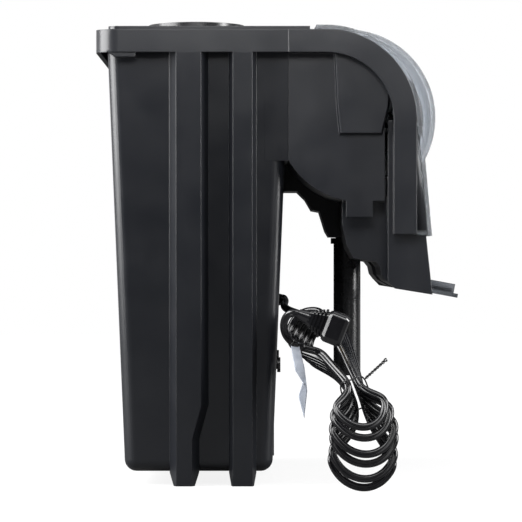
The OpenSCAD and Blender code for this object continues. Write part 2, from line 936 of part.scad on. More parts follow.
// Cup over the blades, with the inlet above them and an outlet to the rear
module impeller_cover() {
    r_in = blade_r + blade_gap;
    r_out = r_in + cup_t;
    arm = 3;
    port_half = 7;
    socket_t = 2.5;
    socket_h = 6;
    floor_z = motor_roof + wall;
    color(plastic) translate([motor_x, 0, 0]) {
        difference() {
            translate([0, 0, floor_z]) cylinder(r = r_out, h = cover_z + cup_t - floor_z);
            translate([0, 0, floor_z - over]) cylinder(r = r_in, h = cover_z - floor_z + over);
            translate([0, 0, cover_z - over]) cylinder(r = elbow_in, h = cup_t + 2 * over);
            block(-r_out - over, -r_in / 2, -port_half, port_half, blade_z, cover_z - 1);
        }
        for (a = [0, 90]) rotate(a)
            block(-elbow_in - over, elbow_in + over, -arm / 2, arm / 2, cover_z, cover_z + cup_t);
        translate([0, 0, cover_z]) cylinder(r = bush_r, h = cup_t);
        tube_z(elbow_r + socket_t, elbow_r + seat_gap, cover_z + cup_t - eps, cover_z + cup_t + socket_h);
    }
}

core_low = 40;
core_x = 16;
core_y = 30;
limb = 12;
limb_top = well_low + 24;
coil_y = 14;
coil_t = 5;
coil_gap = 0.2;

module motor_core() {
    color("#8a8d90") translate([motor_x, 0, 0]) {
        block(-core_x, core_x, -core_y, core_y, core_low, core_low + limb);
        both_sides() block(-core_x, core_x, core_y - limb, core_y, core_low + limb, limb_top);
    }
}

// A block round the core's lower limb, standing out by t and reaching y to each side
module coil_block(t, y) {
    block(-core_x - t, core_x + t, -y, y, core_low - t, core_low + limb + t);
}

module motor_coil() {
    color("#b06a3a") translate([motor_x, 0, 0]) difference() {
        coil_block(coil_t, coil_y);
        coil_block(coil_gap, coil_y + over);
    }
}

module motor_housing() {
    r = 6;
    low = 14;
    gap = slip_gap;
    rotor_gap = 0.8;
    l = motor_l / 2;
    w = motor_w / 2;
    top = motor_roof - motor_gap;
    color(plastic) translate([motor_x, 0, 0]) difference() {
        union() {
            translate([0, 0, low]) linear_extrude(top - low) {
                square([2 * l, 2 * w - 2 * r], center = true);
                square([2 * l - 2 * r, 2 * w], center = true);
                for (x = [-1, 1], y = [-1, 1]) translate([x * (l - r), y * (w - r)]) circle(r);
            }
            translate([0, 0, top - over]) cylinder(r = well_can_r, h = well_top - top + over);
        }
        translate([0, 0, well_low + bush_h]) cylinder(r = rotor_r + rotor_gap, h = rotor_l + rotor_room);
        translate([0, 0, well_low]) cylinder(r = bush_r, h = rotor_l);
        block(-core_x - gap, core_x + gap, -core_y - gap, core_y + gap,
            core_low - gap, core_low + limb + gap);
        coil_block(coil_t + gap, coil_y + gap);
        both_sides() block(-core_x - gap, core_x + gap, core_y - limb - gap, core_y + gap,
            core_low + limb, limb_top + gap);
    }
}

// ---- media ----

pad_x = cart_x - pad_t - pin_gap;
cart_low = foot_h + wall + slip_gap;
cart_y = 8;
cart_w = side_at(cart_low) - wall - cart_gap - cart_y;

module cartridge() {
    bars = 4;
    bar = 1.5;
    grip = 12;
    grip_h = 8;
    color("#3b6ea5") {
        difference() {
            block(cart_x, cart_x + frame_t, cart_y, cart_y + cart_w, cart_low, cart_low + cart_h);
            block(cart_x - over, cart_x + frame_t + over, cart_y + frame_bar, cart_y + cart_w - frame_bar,
                cart_low + frame_bar, cart_low + cart_h - frame_bar);
        }
        for (i = [1:bars]) translate([0, 0, cart_low + i * cart_h / (bars + 1)])
            block(cart_x, cart_x + frame_t, cart_y + over, cart_y + cart_w - over, -bar, bar);
        for (i = [1:bars]) translate([0, cart_y + i * cart_w / (bars + 1), 0])
            block(cart_x, cart_x + frame_t, -bar, bar, cart_low + over, cart_low + cart_h - over);
        block(cart_x - pad_t, cart_x + frame_t, cart_y + cart_w / 2 - grip, cart_y + cart_w / 2 + grip,
            cart_low + cart_h - eps, cart_low + cart_h + grip_h);
    }
}

module floss_pad() {
    color("#e8edf0") block(pad_x, pad_x + pad_t, cart_y, cart_y + cart_w, cart_low, cart_low + cart_h - 1);
}

module cartridge_left() {
    cartridge();
}

module cartridge_right() {
    mirror([0, 1, 0]) cartridge();
}

module floss_left() {
    floss_pad();
}

module floss_right() {
    mirror([0, 1, 0]) floss_pad();
}

// Rails that the cartridges stand between, moulded as one divider with side rails
module cartridge_guide() {
    top = 150;
    low = foot_h + wall + 2 * seat_gap;
    gap = 0.5;
    rail_t = 2;
    web_half = 1.2;
    lap = 4;
    rear = pad_x - gap - rail_t;
    color(plastic) {
        block(cart_x - gap - pad_t - 3, recess_rear - wall - gap, -web_half, web_half, low, top);
        both_sides() {
            block(cart_x + frame_t + gap, cart_x + frame_t + gap + rail_t, over, cart_y + lap, low, top);
            block(rear, rear + rail_t, over, cart_y + lap, low, top);
        }
    }
}

// ---- levelling pads ----

module levelling_pad() {
    face = level_wall + pin_gap;
    head_t = 2.2;
    stem_in = 8;
    color(gloss) translate([face, level_y, level_z]) rotate([0, 90, 0]) {
        cylinder(r = level_r, h = head_t);
        translate([0, 0, -level_travel - stem_in])
            cylinder(r = level_stem_r, h = level_travel + stem_in + over);
    }
}

module levelling_pad_left() {
    levelling_pad();
}

module levelling_pad_right() {
    mirror([0, 1, 0]) levelling_pad();
}

// ---- lead, hank and plug ----

cord_r = cord_d / 2;
relief_x = motor_x + motor_l / 2;
relief_drop = 19;
relief_z = motor_roof - relief_drop;
relief_l = 22;
relief_socket = 4;
// Gap round the lead where it enters the relief or the plug
cord_gap = 0.05;

function unit(v) = v / norm(v);
function tangent(p, i) = unit(p[min(i + 1, len(p) - 1)] - p[max(i - 1, 0)]);
function across_to(n, t) = unit(n - (n * t) * t);
// A side direction at every point, carried along the path without twisting
function sides_of(p, first) = [
    for (i = 0, n = across_to(first, tangent(p, 0)); i < len(p);
        i = i + 1, n = i < len(p) ? across_to(n, tangent(p, i)) : n) n
];
// Smooth curve through hand-chosen points, with steps between each two
function curve(p, steps) = [
    for (i = [0:len(p) - 2], s = [0:steps - 1]) let (
        a = p[max(i - 1, 0)], b = p[i], c = p[i + 1], d = p[min(i + 2, len(p) - 1)], u = s / steps
    ) 0.5 * (2 * b + (c - a) * u + (2 * a - 5 * b + 4 * c - d) * u * u + (3 * b - a - 3 * c + d) * u * u * u),
    p[len(p) - 1]
];

// A round tube along the points, as one closed skin of triangles
module sweep(p, r, n, first) {
    side = sides_of(p, first);
    rings = [for (i = [0:len(p) - 1], k = [0:n - 1])
        let (b = cross(tangent(p, i), side[i]), a = k * 360 / n) p[i] + r * (cos(a) * side[i] + sin(a) * b)];
    last = (len(p) - 1) * n;
    polyhedron(concat(rings, [p[0], p[len(p) - 1]]), concat(
        [for (i = [0:len(p) - 2], k = [0:n - 1])
            let (a = i * n + k, b = i * n + (k + 1) % n) [a, a + n, b]],
        [for (i = [0:len(p) - 2], k = [0:n - 1])
            let (a = i * n + k, b = i * n + (k + 1) % n) [b, a + n, b + n]],
        [for (k = [0:n - 1]) [k, (k + 1) % n, last + n]],
        [for (k = [0:n - 1]) [last + (k + 1) % n, last + k, last + n + 1]]
    ));
}

// The hank: loops of falling length below the tie, all of one length above it
hank_foot = [51, -195, 5.2];
hank_waist = [50, -172, 62];
hank_top = [17, -124, 104];
hank_low = 61;
hank_high = 70;
hank_loops = 6;
hank_step = 5.7;
low_r = 20;
high_r = 14;
waist_r = 3.1;
// Share of its length by which each second loop, and each pair of loops, falls short of the last
odd_short = 0.08;
pair_short = 0.22;
// Radius of a short loop's turn, as a share of its length
turn_share = 0.54;
widen_late = 1.6;
rings = 24;
turn = 4;
run = 2;
hank_first = 3;
hank_rest = 5;

function spine(u) = hank_waist + u * (hank_top - hank_foot) / 2
    + u * u * ((hank_top + hank_foot) / 2 - hank_waist);
function spine_way(u) = (hank_top - hank_foot) / 2 + 2 * u * ((hank_top + hank_foot) / 2 - hank_waist);
function spine_side(u) = let (d = spine_way(u)) unit([d[2], 0, -d[0]]);
function spine_out(u) = unit(cross(spine_side(u), spine_way(u)));
function loop_low(i) = hank_low * (1 - pair_short * floor(i / 2) - odd_short * (i % 2));
function loop_r(i) = min(low_r, turn_share * loop_low(i));
function ease(u) = let (s = pow(u, widen_late)) s * s * (3 - 2 * s);
// Half width of a run at height h, drawn in to the waist at h = 0
function run_side(h, i) = h < 0
    ? waist_r + (loop_r(i) - waist_r) * ease(min(1, -h / (loop_low(i) - loop_r(i))))
    : waist_r + (high_r - waist_r) * ease(min(1, h / (hank_high - high_r)));
// Height along the spine and side of ring k of loop i, from the loop's top down its right side
function ring_at(k, i) =
    k > rings / 2 ? let (m = ring_at(rings - k, i)) [m[0], -m[1]] :
    k < turn ? let (a = k * 90 / turn, c = hank_high - high_r) [c + high_r * cos(a), high_r * sin(a)] :
    k < turn + run ? let (h = (hank_high - high_r) * (1 - (k - turn) / run)) [h, run_side(h, i)] :
    k < turn + 2 * run ? let (h = -(loop_low(i) - loop_r(i)) * (k - turn - run) / run) [h, run_side(h, i)] :
    let (a = (k - turn - 2 * run) * 90 / turn) [
        loop_r(i) - loop_low(i) - loop_r(i) * sin(a), loop_r(i) * cos(a)
    ];
function hank_point(n) = let (
    i = floor(n / rings), m = ring_at(n % rings, min(i, hank_loops - 1)),
    u = m[0] < 0 ? m[0] / hank_low : m[0] / hank_high
) spine(u) + m[1] * spine_side(u) + hank_step * (n / rings - hank_loops / 2) * spine_out(u);
hank_last = hank_loops * rings - hank_rest;
hank_path = [for (n = [hank_first:hank_last]) hank_point(n)];
hank_start = hank_path[0];
hank_in = unit(hank_path[1] - hank_start);
hank_end = hank_path[len(hank_path) - 1];
hank_out = unit(hank_end - hank_path[len(hank_path) - 2]);
hank_steps = [for (i = [1:len(hank_path) - 1]) norm(hank_path[i] - hank_path[i - 1])];
hank_len = hank_steps * [for (s = hank_steps) 1];
echo(start = hank_start, way = hank_in);
echo(end = hank_end, way = hank_out);
echo(low = min([for (p = hank_path) p[2]]), left = min([for (p = hank_path) p[0]]), len = hank_len);
// Least gap of the hank to itself, between rings a third of a loop or more apart
apart = rings / 3;
echo(gap = min([for (i = [0:len(hank_path) - 1], j = [i + apart:1:len(hank_path) - 1])
    norm(hank_path[i] - hank_path[j])]) - cord_d);

module cord_hank() {
    color(gloss) sweep(hank_path, cord_r, 6, [0, 1, 0]);
}

// The free lead, from the strain relief on the motor's front face to the hank
lead_route = [
    [2.8, -34, relief_z], [5.2, -40, relief_z], [5.6, -48, 120.3], [4.8, -60, 118.3], [5, -72, 116.3],
    [8, -84, 114.5], [13, -94, 112.8], [19, -101, 111], [25.5, -105.5, 109],
    hank_start - 8 * hank_in, hank_start
];
lead_path = curve(lead_route, 2);

// A tapered boss on the motor's front face, slanting to the side so that the lead hugs the chamber
module strain_relief() {
    way = unit(lead_route[1] - lead_route[0]);
    thick = cord_r + 2.5;
    thin = cord_r + 1;
    color(gloss) intersection() {
        translate(lead_route[0] - (relief_l - relief_socket) * way) rotate([0, 0, atan2(way[1], way[0])])
            rotate([0, 90, 0]) difference() {
                cylinder(r1 = thick, r2 = thin, h = relief_l);
                translate([0, 0, relief_l - relief_socket])
                    cylinder(r = cord_r + cord_gap, h = relief_socket + over);
            }
        translate([relief_x + cord_gap, -half, 0]) cube([half, body_w, rim_top]);
    }
}

module cord_lead() {
    color(gloss) sweep(lead_path, cord_r, 10, [0, 1, 0]);
}

// The short end of the lead, from the hank to the plug
plug_at = [13, -188, 114];
plug_way = unit([0.9, -0.1, -0.36]);
tail_route = [
    hank_end, hank_end + 5 * hank_out, [16, -162.5, 91.5], [9, -164, 95], [4.5, -169, 100.5],
    [3.5, -176, 107], [5, -182.5, 112], [8.5, -187, 115], plug_at + 2 * plug_way
];
tail_path = curve(tail_route, 3);

module cord_tail() {
    color(gloss) sweep(tail_path, cord_r, 10, [0, 1, 0]);
}

// Puts its children at the plug's rear, with +X along the plug
module at_plug() {
    translate(plug_at) rotate([0, -asin(plug_way[2]), atan2(plug_way[1], plug_way[0])]) children();
}

module plug_slab(x0, x1, w, h, r) {
    across_x(x0, x1) {
        square([w, h - 2 * r], center = true);
        square([w - 2 * r, h], center = true);
        for (y = [-1, 1], z = [-1, 1]) translate([y * (w / 2 - r), z * (h / 2 - r)]) circle(r);
    }
}

// A right-angle plug: a ridged grip that widens into a flat head, with its blades to the left
plug_relief = 8;
plug_grip = 11;
plug_head = 13;
head_t = 14;
head_h = 21;
blade_w = 6.3;
blade_t = 1.5;
blade_pitch = 12.7;
blade_in = 6;
blade_out = 16;

module plug_body() {
    ridges = 4;
    round_r = 4;
    bevel = 2;
    neck_w = 9;
    neck_h = 10;
    ridge_l = 0.8;
    ridge_w = 9.6;
    ridge_h = 11;
    head_x = plug_relief + plug_grip;
    tip_x = head_x + plug_head;
    socket = 2.1;
    color(gloss) at_plug() difference() {
        union() {
            rotate([0, 90, 0]) cylinder(r1 = 1.24 * cord_r, r2 = cord_d, h = plug_relief);
            hull() {
                plug_slab(plug_relief - over, plug_relief, neck_w, neck_h, cord_r);
                plug_slab(head_x - over, head_x, head_t - bevel, head_h - 2 * bevel, round_r);
            }
            for (i = [1:ridges]) let (
                grow = i / ridges, x = plug_relief + grow * (plug_grip - bevel),
                w = ridge_w + grow * (head_t - neck_h), h = ridge_h + grow * (head_h - ridge_h - bevel)
            ) plug_slab(x - ridge_l, x, w, h, cord_r);
            hull() {
                plug_slab(head_x - eps, head_x + over, head_t - bevel, head_h - bevel, round_r);
                plug_slab(head_x + bevel, tip_x - bevel, head_t, head_h, round_r);
                plug_slab(tip_x - over, tip_x, head_t - bevel, head_h - bevel, round_r);
            }
        }
        rotate([0, 90, 0]) translate([0, 0, -over]) cylinder(r = cord_r + cord_gap, h = socket + over);
        blades(seat_gap);
    }
}

module blades(gap) {
    mid = plug_relief + plug_grip + plug_head / 2;
    for (s = [-1, 1]) block(
        mid - blade_w / 2 - gap, mid + blade_w / 2 + gap, head_t / 2 - blade_in - gap, head_t / 2 + blade_out,
        s * blade_pitch / 2 - blade_t / 2 - gap, s * blade_pitch / 2 + blade_t / 2 + gap
    );
}

module plug_blades() {
    color("#c9a86a") at_plug() blades(0);
}

// A wire tie drawn round the hank's waist, with its twisted tail
module hank_tie() {
    slack_w = 1.6;
    half_w = waist_r + cord_r + slack_w;
    half_l = hank_step * hank_loops / 2 + cord_r - pin_gap;
    wire = 1.2;
    corner = 4;
    tail_l = 19;
    tail_at = 0.7;
    color("#151515") translate(hank_waist)
        multmatrix(frame_of(spine_side(0), spine_out(0), unit(spine_way(0)))) {
        linear_extrude(2 * wire, center = true) difference() {
            tie_plan(half_w + wire, half_l + wire, corner + wire);
            tie_plan(half_w, half_l, corner);
        }
        translate([half_w + wire / 2, half_l * tail_at, 0]) rotate([0, 60, 0]) cylinder(d = wire, h = tail_l);
    }
}

module tie_plan(w, l, r) {
    square([2 * w, 2 * l - 2 * r], center = true);
    square([2 * w - 2 * r, 2 * l], center = true);
    for (x = [-1, 1], y = [-1, 1]) translate([x * (w - r), y * (l - r)]) circle(r);
}

function frame_of(x, y, z) = [
    [x[0], y[0], z[0], 0], [x[1], y[1], z[1], 0], [x[2], y[2], z[2], 0], [0, 0, 0, 1]
];

// A blank folded paper tag that hangs from a sleeve round the tail
module cord_tag() {
    t = 0.5;
    sleeve_l = 9;
    sleeve_t = 0.5;
    sleeve_r = cord_r + pin_gap + sleeve_t;
    upper = [[8, 94], [13, 95], [17, 79], [18.5, 67], [16, 69], [11, 77]];
    lower = [[18.5, 67], [18.8, 64], [16.8, 46], [13, 60.5], [16, 70]];
    at = tail_route[2] + (tail_route[3] - tail_route[2]) * 0.5;
    way = unit(tail_route[3] - tail_route[2]);
    near = sleeve_r - at[1];
    color("white") {
        translate(at) rotate([0, acos(way[2]), atan2(way[1], way[0])]) translate([0, 0, -sleeve_l / 2])
            tube_z(sleeve_r, cord_r + pin_gap, 0, sleeve_l);
        across(-near, -near + t) polygon(upper);
        across(-near - t + eps, -near + eps) polygon(lower);
    }
}

// ---- nodes ----

filter_box();
cheek_left();
cheek_right();
spillway_left();
spillway_right();
front_apron();
intake_casing();
spout_lip();
wheel_frame_left();
wheel_medium_left();
wheel_frame_right();
wheel_medium_right();
wheel_bearings();
front_hood();
chamber_lid();
lid_knob();
intake_elbow();
intake_tube();
impeller();
rotor_magnet();
impeller_shaft();
shaft_bushes();
impeller_cover();
motor_core();
motor_coil();
motor_housing();
cartridge_left();
cartridge_right();
floss_left();
floss_right();
cartridge_guide();
levelling_pad_left();
levelling_pad_right();
strain_relief();
cord_lead();
cord_hank();
cord_tail();
plug_body();
plug_blades();
hank_tie();
cord_tag();
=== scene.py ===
"""The looks of a hang-on-back aquarium filter: materials, lead, soft pads, light and camera."""

import json
import math

import bmesh
import bpy
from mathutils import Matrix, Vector, noise


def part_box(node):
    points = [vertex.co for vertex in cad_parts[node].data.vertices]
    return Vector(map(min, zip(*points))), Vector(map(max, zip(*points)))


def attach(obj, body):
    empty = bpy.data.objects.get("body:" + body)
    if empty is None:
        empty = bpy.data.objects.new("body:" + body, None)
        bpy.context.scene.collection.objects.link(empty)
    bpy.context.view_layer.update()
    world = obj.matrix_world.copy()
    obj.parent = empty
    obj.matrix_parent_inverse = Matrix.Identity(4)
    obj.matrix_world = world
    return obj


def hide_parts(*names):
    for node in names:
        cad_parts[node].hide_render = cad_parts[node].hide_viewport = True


# Lengths are written in millimetres and turned into metres by MM.
MM = 0.001

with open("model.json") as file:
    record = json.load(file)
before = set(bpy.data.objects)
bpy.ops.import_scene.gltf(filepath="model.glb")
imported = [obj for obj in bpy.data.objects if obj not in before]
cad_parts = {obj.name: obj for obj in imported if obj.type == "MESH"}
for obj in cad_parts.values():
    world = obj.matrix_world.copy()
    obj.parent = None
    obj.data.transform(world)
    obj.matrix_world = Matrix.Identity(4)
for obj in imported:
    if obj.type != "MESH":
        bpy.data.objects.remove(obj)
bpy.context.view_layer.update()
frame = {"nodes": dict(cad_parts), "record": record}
nodes = frame["nodes"]


# ---- camera ----

CAMERA_AT = Vector((-11, -2145, 147.5)) * MM
LENS = 212
SENSOR = 36
NEAR_CLIP = 0.1
FAR_CLIP = 20


def make_camera():
    data = bpy.data.cameras.new("camera")
    data.lens = LENS
    data.sensor_width = SENSOR
    data.clip_start = NEAR_CLIP
    data.clip_end = FAR_CLIP
    camera = bpy.data.objects.new("camera", data)
    camera.location = CAMERA_AT
    camera.rotation_euler = (math.radians(90), 0, 0)
    bpy.context.scene.collection.objects.link(camera)
    bpy.context.scene.camera = camera


make_camera()


# ---- the mains lead ----

# The cable: its width, its thickness, and the groove between its two cores
CORD_D = 5
CORD_T = 4.7
GROOVE_SHARE = 0.32
GROOVE_W = 0.6
CORD_SIDES = 24
TUBE_SIDES = 14
CORD_FACE = Vector((0, -1, 0))

# The hank: loops side by side, tied at the waist, of falling length below it
HANK_FOOT = Vector((51, -195, 5.2))
HANK_WAIST = Vector((50, -172, 62))
HANK_TOP = Vector((17, -124, 104))
HANK_LOW = 61
HANK_HIGH = 70
LOOPS = 6
STEP = 5.7
LOW_R = 20
HIGH_R = 14
WAIST_R = 3.1
PAIR_SHORT = 0.22
ODD_SHORT = 0.08
TURN_SHARE = 0.54
WIDEN_LATE = 1.6

# Points round one loop: those in a quarter turn and in half a run, and what the ends leave off
RINGS = 24
TURN = 4
RUN = 2
FIRST_RING = 3
RINGS_LEFT_OFF = 5
LEAD_INTO_HANK = 8
HANK_INTO_TAIL = 5
CURVE_STEPS = 4
POINT_GAP = 1.6
SOFTEN_PASSES = 8

RELIEF_END = Vector((4.2, -37.5, 121))
LEAD_ROUTE = [
    (5.2, -40, 121), (5.6, -48, 120.3), (4.8, -60, 118.3), (5, -72, 116.3), (8, -84, 114.5),
    (13, -94, 112.8), (19, -101, 111), (25.5, -105.5, 109),
]
TAIL_ROUTE = [
    (16, -162.5, 91.5), (9, -164, 95), (4.5, -169, 100.5), (3.5, -176, 107), (5, -182.5, 112),
    (8.5, -187, 115),
]
PLUG_AT = Vector((13, -188, 114))
PLUG_WAY = Vector((0.9, -0.1, -0.36)).normalized()


def hank_spine(u):
    """A curve through the hank's foot, waist and top, where u is -1, 0 and 1."""
    rise = (HANK_TOP - HANK_FOOT) / 2
    return HANK_WAIST + u * rise + u * u * ((HANK_TOP + HANK_FOOT) / 2 - HANK_WAIST)


def hank_way(u):
    """The spine's direction at u, and its length for one unit of u."""
    return (HANK_TOP - HANK_FOOT) / 2 + 2 * u * ((HANK_TOP + HANK_FOOT) / 2 - HANK_WAIST)


def hank_side(u):
    way = hank_way(u)
    return Vector((way.z, 0, -way.x)).normalized()


def hank_out(u):
    return hank_side(u).cross(hank_way(u)).normalized()


def loop_low(i):
    """How far loop i hangs below the waist."""
    return HANK_LOW * (1 - PAIR_SHORT * (i // 2) - ODD_SHORT * (i % 2))


def loop_r(i):
    """Radius of loop i's lower turn."""
    return min(LOW_R, TURN_SHARE * loop_low(i))


def ease(u):
    """Rises from 0 to 1 with level ends, more slowly at first."""
    s = u ** WIDEN_LATE
    return s * s * (3 - 2 * s)


def run_side(h, i):
    """Half width of a loop's run at height h over the waist."""
    if h < 0:
        return WAIST_R + (loop_r(i) - WAIST_R) * ease(min(1, -h / (loop_low(i) - loop_r(i))))
    return WAIST_R + (HIGH_R - WAIST_R) * ease(min(1, h / (HANK_HIGH - HIGH_R)))


def ring_at(k, i):
    """Height along the spine and side of ring k of loop i."""
    if k > RINGS / 2:
        height, side = ring_at(RINGS - k, i)
        return height, -side
    if k < TURN:
        a = math.radians(k * 90 / TURN)
        return HANK_HIGH - HIGH_R + HIGH_R * math.cos(a), HIGH_R * math.sin(a)
    if k < TURN + RUN:
        h = (HANK_HIGH - HIGH_R) * (1 - (k - TURN) / RUN)
        return h, run_side(h, i)
    if k < TURN + 2 * RUN:
        h = -(loop_low(i) - loop_r(i)) * (k - TURN - RUN) / RUN
        return h, run_side(h, i)
    a = math.radians((k - TURN - 2 * RUN) * 90 / TURN)
    low_r = loop_r(i)
    return low_r - loop_low(i) - low_r * math.sin(a), low_r * math.cos(a)


def hank_point(n):
    height, side = ring_at(n % RINGS, min(n // RINGS, LOOPS - 1))
    u = height / HANK_LOW if height < 0 else height / HANK_HIGH
    return hank_spine(u) + side * hank_side(u) + STEP * (n / RINGS - LOOPS / 2) * hank_out(u)


def smooth(points, steps):
    """Catmull-Rom curve through the points, with steps between each two."""
    made = []
    for i in range(len(points) - 1):
        a, b, c = points[max(i - 1, 0)], points[i], points[i + 1]
        d = points[min(i + 2, len(points) - 1)]
        for s in range(steps):
            u = s / steps
            made.append(0.5 * (
                2 * b + (c - a) * u + (2 * a - 5 * b + 4 * c - d) * u * u
                + (3 * b - a - 3 * c + d) * u * u * u
            ))
    made.append(points[-1])
    return made


def even(points, gap):
    """The same line with its points at equal distances, about the gap apart."""
    run = [0]
    for a, b in zip(points, points[1:]):
        run.append(run[-1] + (b - a).length)
    count = round(run[-1] / gap)
    made = []
    i = 0
    for k in range(count + 1):
        along = run[-1] * k / count
        while i < len(points) - 2 and run[i + 1] < along:
            i += 1
        made.append(points[i].lerp(points[i + 1], (along - run[i]) / (run[i + 1] - run[i])))
    return made


def soften(points, passes):
    """Rounds the line's sharp bends and keeps its two ends."""
    for _ in range(passes):
        inner = [(a + 2 * b + c) / 4 for a, b, c in zip(points, points[1:], points[2:])]
        points = [points[0]] + inner + [points[-1]]
    return points


def cord_points():
    """The whole lead's centreline, from the strain relief to the plug."""
    hank = [hank_point(n) for n in range(FIRST_RING, LOOPS * RINGS - RINGS_LEFT_OFF + 1)]
    into = (hank[1] - hank[0]).normalized()
    out = (hank[-1] - hank[-2]).normalized()
    before = hank[0] - LEAD_INTO_HANK * into
    after = hank[-1] + HANK_INTO_TAIL * out
    lead = [RELIEF_END] + [Vector(p) for p in LEAD_ROUTE] + [before]
    tail = [after] + [Vector(p) for p in TAIL_ROUTE] + [PLUG_AT + PLUG_WAY]
    curve = smooth(lead + hank + tail, CURVE_STEPS)
    line = soften(even(curve, POINT_GAP), SOFTEN_PASSES)
    return [p * MM for p in line]


def round_outline(radius):
    """Points round a circle in a tube's cross section, in millimetres."""
    turns = [2 * math.pi * k / TUBE_SIDES for k in range(TUBE_SIDES)]
    return [(radius * math.cos(a), radius * math.sin(a)) for a in turns]


def twin_outline():
    """The cable's cross section: two cores side by side, with a groove on each face."""
    outline = []
    for k in range(CORD_SIDES):
        a = 2 * math.pi * k / CORD_SIDES
        across = CORD_D / 2 * math.cos(a)
        groove = 1 - GROOVE_SHARE * math.exp(-((across / GROOVE_W) ** 2))
        outline.append((across, CORD_T / 2 * groove * math.sin(a)))
    return outline


def sweep(name, points, outline, facing, cyclic=False):
    """A tube along the points; its outline's second axis turns to the facing where it can."""
    bm = bmesh.new()
    count = len(points)
    face = facing
    rings = []
    for i, at in enumerate(points):
        before = points[i - 1] if cyclic or i > 0 else at
        after = points[(i + 1) % count] if cyclic or i < count - 1 else at
        way = (after - before).normalized()
        wanted = facing - facing.dot(way) * way
        carried = (face - face.dot(way) * way).normalized()
        face = (carried + wanted).normalized()
        side = way.cross(face)
        rings.append([bm.verts.new(at + (u * side + v * face) * MM) for u, v in outline])
    pairs = list(zip(rings, rings[1:]))
    if cyclic:
        pairs.append((rings[-1], rings[0]))
    else:
        bm.faces.new(reversed(rings[0]))
        bm.faces.new(rings[-1])
    for low, high in pairs:
        for k in range(len(outline)):
            j = (k + 1) % len(outline)
            bm.faces.new((low[k], low[j], high[j], high[k]))
    bmesh.ops.recalc_face_normals(bm, faces=bm.faces)
    return mesh_piece(name, bm)


def mesh_piece(name, bm):
    """Turns a bmesh into a smooth-shaded object."""
    data = bpy.data.meshes.new(name)
    bm.to_mesh(data)
    bm.free()
    data.shade_smooth()
    piece = bpy.data.objects.new(name, data)
    bpy.context.scene.collection.objects.link(piece)
    return piece


TIE_WIRE = 0.5
TIE_HALF_W = 8.6
TIE_HALF_L = 20.6
TIE_SQUARENESS = 3.2
TIE_SWAY = 1.2
TIE_POINTS = 48
TIE_START = 0.7
TIE_PULL = (0.9, 0.45)
TIE_TAIL = 19
TIE_TAIL_POINTS = 40
TIE_TWISTS = 4
TIE_PARTS_AT = 0.75
TIE_PARTS_BY = 3.5


def tie_loop(side, out, way):
    """A rounded rectangle round the hank's waist that sways a little along it."""
    loop = []
    for k in range(TIE_POINTS):
        a = 2 * math.pi * k / TIE_POINTS
        c, s = math.cos(a), math.sin(a)
        grow = (abs(c) ** TIE_SQUARENESS + abs(s) ** TIE_SQUARENESS) ** (-1 / TIE_SQUARENESS)
        across = TIE_HALF_W * grow * c * side + TIE_HALF_L * grow * s * out
        loop.append((HANK_WAIST + across + TIE_SWAY * math.sin(3 * a) * way) * MM)
    return loop


def tie_end(side, out, way, phase):
    """One wire of the twisted tail, which parts from the other at its tip."""
    start = HANK_WAIST + TIE_HALF_W * side + TIE_HALF_L * TIE_START * out
    pull = (TIE_PULL[0] * side + TIE_PULL[1] * way).normalized()
    across = pull.cross(out).normalized()
    line = []
    for k in range(TIE_TAIL_POINTS):
        t = k / (TIE_TAIL_POINTS - 1)
        a = 2 * math.pi * TIE_TWISTS * t + phase
        r = TIE_WIRE * (1 + TIE_PARTS_BY * max(0, t - TIE_PARTS_AT))
        twist = r * (math.cos(a) * out + math.sin(a) * across)
        line.append((start + TIE_TAIL * t * pull + twist) * MM)
    return line


def make_tie():
    """A plastic-coated wire round the hank's waist, its two ends twisted together."""
    side, out, way = hank_side(0), hank_out(0), hank_way(0).normalized()
    wire = round_outline(TIE_WIRE)
    parts = [sweep("hank_tie_ring", tie_loop(side, out, way), wire, way, cyclic=True)]
    for strand in range(2):
        line = tie_end(side, out, way, strand * math.pi)
        parts.append(sweep(f"hank_tie_end_{strand + 1}", line, wire, out))
    return parts


TAG_PANELS = [
    [(8, 94), (13, 95), (17, 79), (18.5, 67), (16, 69), (11, 77)],
    [(18.5, 67), (18.8, 64), (16.8, 46), (13, 60.5), (16, 70)],
]
TAG_Y = -166.65
TAG_FOLD_Z = 68.5
TAG_PANEL_H = 26
TAG_LEANS = (1.2, -4.5)
TAG_PAPER = 0.22
TAG_CUTS = 7
CREASE_SIZE = 120
CREASE_DEPTH = 0.5


def make_tag():
    """A blank paper tag, folded once and creased, hanging from its sleeve on the lead."""
    bm = bmesh.new()
    for points, lean in zip(TAG_PANELS, TAG_LEANS):
        corners = []
        for x, z in points:
            y = TAG_Y + lean * abs(z - TAG_FOLD_Z) / TAG_PANEL_H
            corners.append(bm.verts.new(Vector((x, y, z)) * MM))
        bm.faces.new(corners)
    bmesh.ops.remove_doubles(bm, verts=bm.verts, dist=0.05 * MM)
    bmesh.ops.triangulate(bm, faces=bm.faces)
    bmesh.ops.subdivide_edges(bm, edges=bm.edges, cuts=TAG_CUTS, use_grid_fill=True)
    for vert in bm.verts:
        vert.co.y += CREASE_DEPTH * MM * noise.noise(vert.co * CREASE_SIZE)
    tag = mesh_piece("lead_tag", bm)
    solid = tag.modifiers.new("paper", "SOLIDIFY")
    solid.thickness = TAG_PAPER * MM
    return tag


SLEEVE_AT = Vector((12.5, -163.25, 93.25))
SLEEVE_HALF = 4.4
SLEEVE_T = 0.45
SLEEVE_STEPS = 8


def make_sleeve():
    """A short sleeve round the lead's tail, which the tag hangs from."""
    way = (Vector(TAIL_ROUTE[1]) - Vector(TAIL_ROUTE[0])).normalized()
    points = []
    for k in range(SLEEVE_STEPS + 1):
        along = SLEEVE_HALF * (2 * k / SLEEVE_STEPS - 1)
        points.append((SLEEVE_AT + way * along) * MM)
    outline = round_outline(CORD_D / 2 + SLEEVE_T)
    return sweep("lead_tag_sleeve", points, outline, CORD_FACE)


